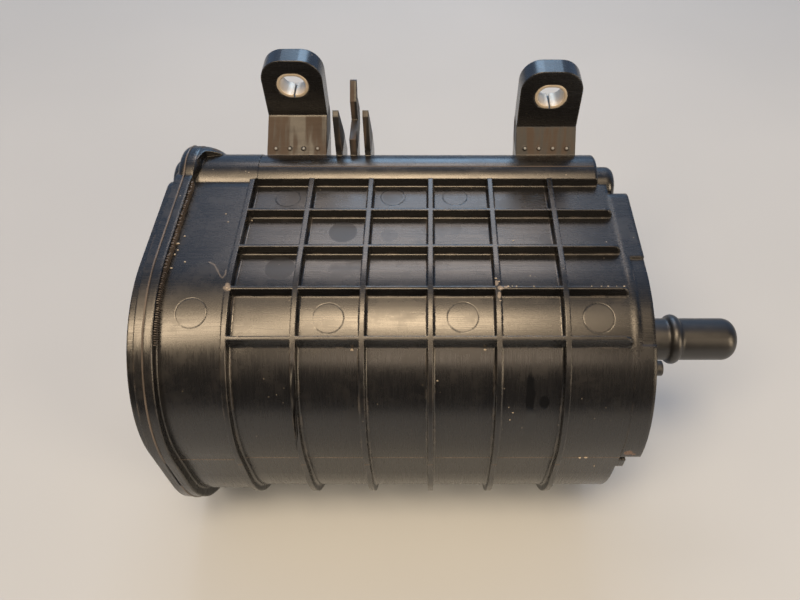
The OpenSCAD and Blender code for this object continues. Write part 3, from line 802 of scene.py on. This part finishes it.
def make_flange_teeth():
    """The fine comb on the flange's inner face, along the top and over the crown."""
    random.seed(11)
    shape = bmesh.new()
    steps = []
    y = TEETH_BACK
    while y > 0:
        steps.append((y, SMOOTH_HIGH + SMOOTH_R, 0, 1))
        y -= TOOTH_PITCH
    angle = 0
    while angle < TEETH_TURN:
        out_y, out_z = -math.sin(angle), math.cos(angle)
        steps.append((SMOOTH_R * out_y, SMOOTH_HIGH + SMOOTH_R * out_z, out_y, out_z))
        angle += TOOTH_PITCH / SMOOTH_R
    half, narrow = TOOTH_HALF, TOOTH_HALF * 0.6
    for y, z, out_y, out_z in steps:
        tall = random.uniform(1.7, 2.5) * MM
        deep = random.uniform(0.45, 0.75) * MM
        rings = []
        for up, reach in ((-BURY, deep), (tall, deep), (tall + TOOTH_TIP, TOOTH_TIP_REACH)):
            ring = []
            for x, side in ((-BURY, -half), (reach, -narrow), (reach, narrow), (-BURY, half)):
                tooth_y = y + out_y * up + out_z * side
                tooth_z = z + out_z * up - out_y * side
                ring.append((FLANGE_X + x, tooth_y, tooth_z))
            rings.append(ring)
        sweep(shape, rings)
    finished("flange_teeth", shape, FLASH_PLASTIC, 30)


def strip(shape, points, wide, out):
    """A thin raised line along points, each with the ways out of and across the surface."""
    rings = []
    for place, away, across in points:
        place, away, across = Vector(place), Vector(away), Vector(across)
        rings.append([
            place - across * wide / 2 - away * LINE_BURY, place - across * wide / 4 + away * out,
            place + across * wide / 4 + away * out, place + across * wide / 2 - away * LINE_BURY])
    sweep(shape, rings)


def make_parting_lines():
    """The raised lines where the mould's halves meet, on the front and on the side chamber."""
    random.seed(3)
    shape = bmesh.new()
    front, up = (0, -1, 0), (0, 0, 1)
    spans = [(FLANGE_X, GRID_X - RIB_THICK / 2, -SMOOTH_R)]
    for i in range(CELLS):
        rib = GRID_X + i * CELL
        next_wall = rib + CELL - (RIB_THICK / 2 if i < CELLS - 1 else 0)
        spans.append((rib - RIB_THICK / 2, rib + RIB_THICK / 2, RIB_FRONT_Y))
        spans.append((rib + RIB_THICK / 2, next_wall, -PANEL_R))
    for start, end, y in spans:
        count = max(2, round((end - start) / (4 * MM)))
        points = []
        for k in range(count + 1):
            x = start + (end - start) * k / count
            points.append(((x, y, PARTING_Z + random.uniform(-0.08, 0.08) * MM), front, up))
        strip(shape, points, FRONT_LINE_WIDE, LINE_OUT)
    out = (0, math.cos(LOBE_LINE_TURN), math.sin(LOBE_LINE_TURN))
    across = (0, math.sin(LOBE_LINE_TURN), -math.cos(LOBE_LINE_TURN))
    first, last, count = GRID_X + RIB_THICK, LOBE_LINE_END, 32
    points = []
    for k in range(count + 1):
        x = first + (last - first) * k / count
        points.append(((x, LOBE_Y + LOBE_R * out[1], LOBE_Z + LOBE_R * out[2]), out, across))
    strip(shape, points, LOBE_LINE_WIDE, LINE_OUT)
    finished("parting_lines", shape, FLASH_PLASTIC, 30)


# crumbs of dirt: middle and size, in millimetres from the part's origin
CRUMBS = [
    ((-66.2, -9.9, 110.4), 0.7), ((-65.2, -10.5, 110.3), 0.5), ((22.8, -10.2, 110.4), 0.5),
    ((-25.3, -26.5, 99.3), 0.9), ((17.6, -26.5, 99.3), 0.9), ((2.2, -34.0, 92.6), 0.6),
    ((-64.0, 23.6, 107.9), 0.7), ((-86.2, 9.0, 111.4), 0.9), ((-86.0, 4.0, 111.4), 0.7),
    ((-85.5, 6.1, 111.3), 0.7), ((-81.9, 0.7, 111.3), 0.6), ((-85.8, -2.0, 111.3), 0.7),
    ((-72.5, 23.5, 111.3), 0.6), ((-71.0, 19.5, 111.3), 0.5), ((-84.6, 12.5, 111.4), 0.5),
    ((45.0, -28.8, 97.4), 0.5), ((52.1, -45.5, 60.7), 1.1), ((54.2, -45.5, 60.8), 0.9),
    ((58.4, -45.5, 54.0), 0.7), ((25.6, -39.4, 84.9), 0.4), ((27.0, -40.4, 83.2), 0.45),
    ((26.2, -41.6, 80.6), 0.5), ((21.4, -6.2, 111.0), 0.6), ((22.3, -7.4, 110.8), 0.5),
    ((25.3, -9.2, 110.5), 0.7), ((26.6, -9.1, 110.5), 0.4), ((28.0, -9.2, 110.5), 0.6),
    ((22.5, -14.2, 109.3), 0.6), ((33.6, -9.2, 110.5), 0.5), ((3.0, -7.6, 107.2), 0.5),
    ((29.0, 14.0, 107.7), 0.5), ((52.4, -9.2, 110.5), 0.45), ((55.6, -9.2, 110.5), 0.4),
    ((57.8, -9.2, 110.5), 0.5), ((60.6, -9.2, 110.5), 0.4), ((63.0, -9.2, 110.5), 0.5),
]


def make_crumbs():
    """Small dry crumbs in corners and on flat places."""
    random.seed(21)
    shape = bmesh.new()
    for middle, size in CRUMBS:
        made = bmesh.ops.create_icosphere(shape, subdivisions=2, radius=size * MM / 2)
        limits = ((0.8, 1.5), (0.7, 1.1), (0.4, 0.7))
        stretch = Vector([random.uniform(low, high) for low, high in limits])
        for vert in made["verts"]:
            spot = vert.co * random.uniform(0.8, 1.2)
            vert.co = Vector(a * b for a, b in zip(spot, stretch)) + Vector(middle) * MM
    finished("dirt_crumbs", shape, CRUMB_DIRT, 60)


make_hoop_fillets()
make_row_fillets()
make_weld_bead()
make_flange_roll()
make_flange_teeth()
make_parting_lines()
make_crumbs()


# camera, light and floor

# the viewpoint: the picture's width, the lens and its middle in pixels, the way down and the aim
PICTURE_W = 800
LENS_PX = 680
AXIS_PX = 430.5
LOOK_DOWN = math.radians(51.4)
AIM = Vector((0, -16.2 * MM, RIB_TOP + 0.71 * MM))
AWAY = 215.6 * MM

FACE_WATTS = 4  # for each square metre of a lamp's face at brightness 1
MIDDLE = (0, 0, 0.08)
FLOOR_HALF = 4


def make_camera():
    """The photograph's own viewpoint, looking steeply down on the front."""
    data = bpy.data.cameras.new("camera")
    data.sensor_fit = "HORIZONTAL"
    data.sensor_width = 36
    data.lens = LENS_PX / PICTURE_W * data.sensor_width
    data.shift_x = (PICTURE_W / 2 - AXIS_PX) / PICTURE_W
    data.clip_start = 0.01
    camera = bpy.data.objects.new("camera", data)
    ahead = Vector((0, math.cos(LOOK_DOWN), -math.sin(LOOK_DOWN)))
    camera.location = AIM - AWAY * ahead
    camera.rotation_euler = (math.pi / 2 - LOOK_DOWN, 0, 0)
    bpy.context.scene.collection.objects.link(camera)
    bpy.context.scene.camera = camera


def make_lamp(name, place, target, size_x, size_y, brightness, colour):
    """A soft box; brightness is how bright its face is, where white paper in plain light is 1."""
    data = bpy.data.lights.new(name, "AREA")
    data.shape = "RECTANGLE"
    data.size, data.size_y = size_x, size_y
    data.energy = brightness * FACE_WATTS * size_x * size_y
    data.color = colour
    lamp = bpy.data.objects.new(name, data)
    lamp.location = place
    lamp.rotation_euler = (Vector(target) - Vector(place)).to_track_quat("-Z", "Y").to_euler()
    bpy.context.scene.collection.objects.link(lamp)


def make_world():
    """Soft light all round, brighter and cooler behind the part."""
    world = bpy.data.worlds.new("studio")
    world.use_nodes = True
    bpy.context.scene.world = world
    tree = world.node_tree
    way = add_node(tree, "SeparateXYZ")
    feed(tree, way.inputs[0], add_node(tree, "TexCoord").outputs["Generated"])
    behind = remap(tree, way.outputs["Y"], -0.2, 0.7)
    colour = blend_colour(tree, behind, (0.15, 0.15, 0.16, 1), (0.56, 0.86, 1.36, 1))
    feed(tree, tree.nodes["Background"].inputs["Color"], colour)
    tree.nodes["Background"].inputs["Strength"].default_value = 0.4


def make_floor():
    """A plain pale floor."""
    shape = bmesh.new()
    bmesh.ops.create_grid(shape, x_segments=1, y_segments=1, size=FLOOR_HALF)
    floor = bpy.data.objects.new("floor", finish_mesh("floor", shape))
    bpy.context.scene.collection.objects.link(floor)
    made, tree, shader = new_material("pale_floor")
    tone = remap(tree, noise(tree, place_mm(tree), 0.004, detail=3), 0.3, 0.7)
    colour = blend_colour(tree, tone, (0.41, 0.45, 0.50, 1), (0.44, 0.48, 0.53, 1))
    feed(tree, shader.inputs["Base Color"], colour)
    shader.inputs["Roughness"].default_value = 0.7
    dress(floor, made)


make_camera()
make_world()
make_floor()
make_lamp("overhead", (-0.12, -0.30, 1.30), (-0.05, -0.02, 0.1), 1.10, 0.95, 1.3, (1.0, 0.76, 0.52))
make_lamp("key", (-0.05, -0.25, 1.28), (-0.02, 0, 0.1), 0.45, 0.34, 13.0, (1.0, 0.75, 0.48))
make_lamp("left", (-0.64, -0.55, 1.28), (-0.08, -0.02, 0.1), 0.40, 0.60, 9.5, (1.0, 0.76, 0.50))
make_lamp("right", (1.05, -0.70, 0.62), (0.05, 0, 0.1), 0.40, 0.80, 7.0, (1.0, 0.78, 0.53))
make_lamp("front", (0.05, -1.15, 1.25), MIDDLE, 0.80, 0.25, 2.8, (1.0, 0.78, 0.58))
make_lamp("behind", (-0.05, 0.93, 1.22), MIDDLE, 0.72, 0.32, 3.9, (1.0, 0.84, 0.72))
make_lamp("low_behind", (0, 1.30, 0.82), MIDDLE, 0.60, 0.60, 3.0, (0.55, 0.82, 1.12))

bpy.context.scene.view_settings.view_transform = "Standard"
